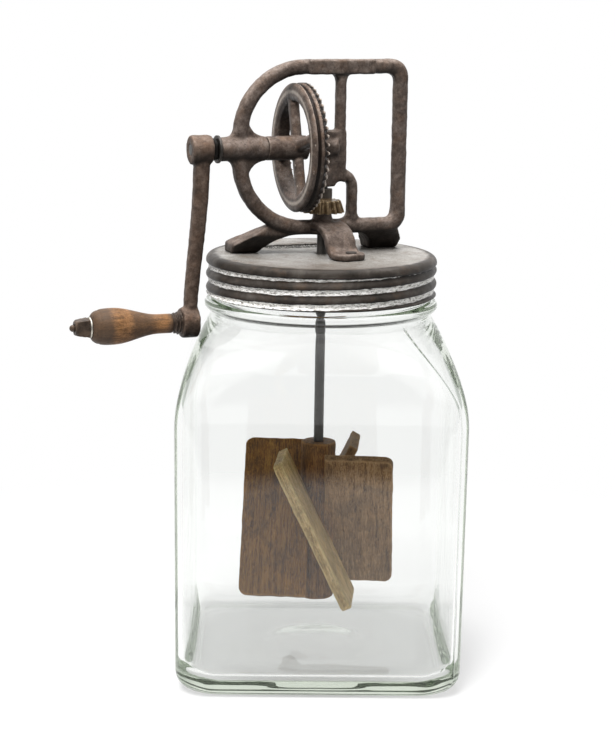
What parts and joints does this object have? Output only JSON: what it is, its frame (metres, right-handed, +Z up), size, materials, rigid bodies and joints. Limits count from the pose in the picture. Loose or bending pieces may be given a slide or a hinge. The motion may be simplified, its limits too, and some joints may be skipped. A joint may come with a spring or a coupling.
{
  "type": "glass jar butter churn",
  "caption": "Hand-cranked butter churn: a square glass jar with a screw lid that carries a cast-iron frame, a bevel gear drive and a wooden paddle dasher.",
  "frame": {"origin": "centre of the jar's foot, on the surface that it stands on", "axes": "+Z up along the dasher's axis, -Y towards the jar's front side; the head is turned 20 degrees about +Z, so the crank's axis points along (0.94, 0.342, 0)"},
  "size_m": [0.2357, 0.173, 0.3726],
  "materials": {
    "glass": "clear pressed glass",
    "tin": "aged tinplate",
    "wire": "dull wire mesh",
    "iron": "rusty bare casting",
    "steel": "darkened steel",
    "washer_metal": "worn bright steel",
    "pinion_metal": "worn brownish casting",
    "grip_wood": "worn turned wood",
    "dasher_wood": "bare soaked wood"
  },
  "bodies": {
    "jar": {"jar": "glass"},
    "head": {"lid": "tin", "strainer_screen": "wire", "frame": "iron", "frame_rivets": "steel"},
    "crank": {"crank_shaft": "steel", "crank_washer": "steel", "crank_arm": "iron", "drive_gear": "iron", "gear_pin": "steel", "handle_spindle": "steel", "grip_washer": "washer_metal", "spindle_nut": "steel"},
    "grip": {"handle_grip": "grip_wood", "grip_ferrule": "steel"},
    "dasher": {"pinion": "pinion_metal", "pinion_pin": "steel", "dasher_shaft": "steel", "dasher_hub": "dasher_wood", "hub_pin": "steel", "paddle_front": "dasher_wood", "paddle_right": "dasher_wood", "paddle_back": "dasher_wood", "paddle_left": "dasher_wood"}
  },
  "joints": [
    {"name": "lid_lift", "type": "slide", "parent": "jar", "child": "head", "axis": [0, 0, 1], "range_m": [0, 0.24]},
    {"name": "crank_turn", "type": "hinge", "parent": "head", "child": "crank", "pos_m": [0, 0, 0.3203], "axis": [0.9397, 0.342, 0], "continuous": true},
    {"name": "dasher_spin", "type": "hinge", "parent": "head", "child": "dasher", "pos_m": [0, 0, 0.28], "axis": [0, 0, 1], "continuous": true},
    {"name": "grip_spin", "type": "hinge", "parent": "crank", "child": "grip", "pos_m": [-0.10806, -0.03933, 0.2173], "axis": [0.9397, 0.342, 0], "continuous": true}
  ],
  "couplings": [
    {"joint": "dasher_spin", "follows": "crank_turn", "ratio": -3.2}
  ]
}
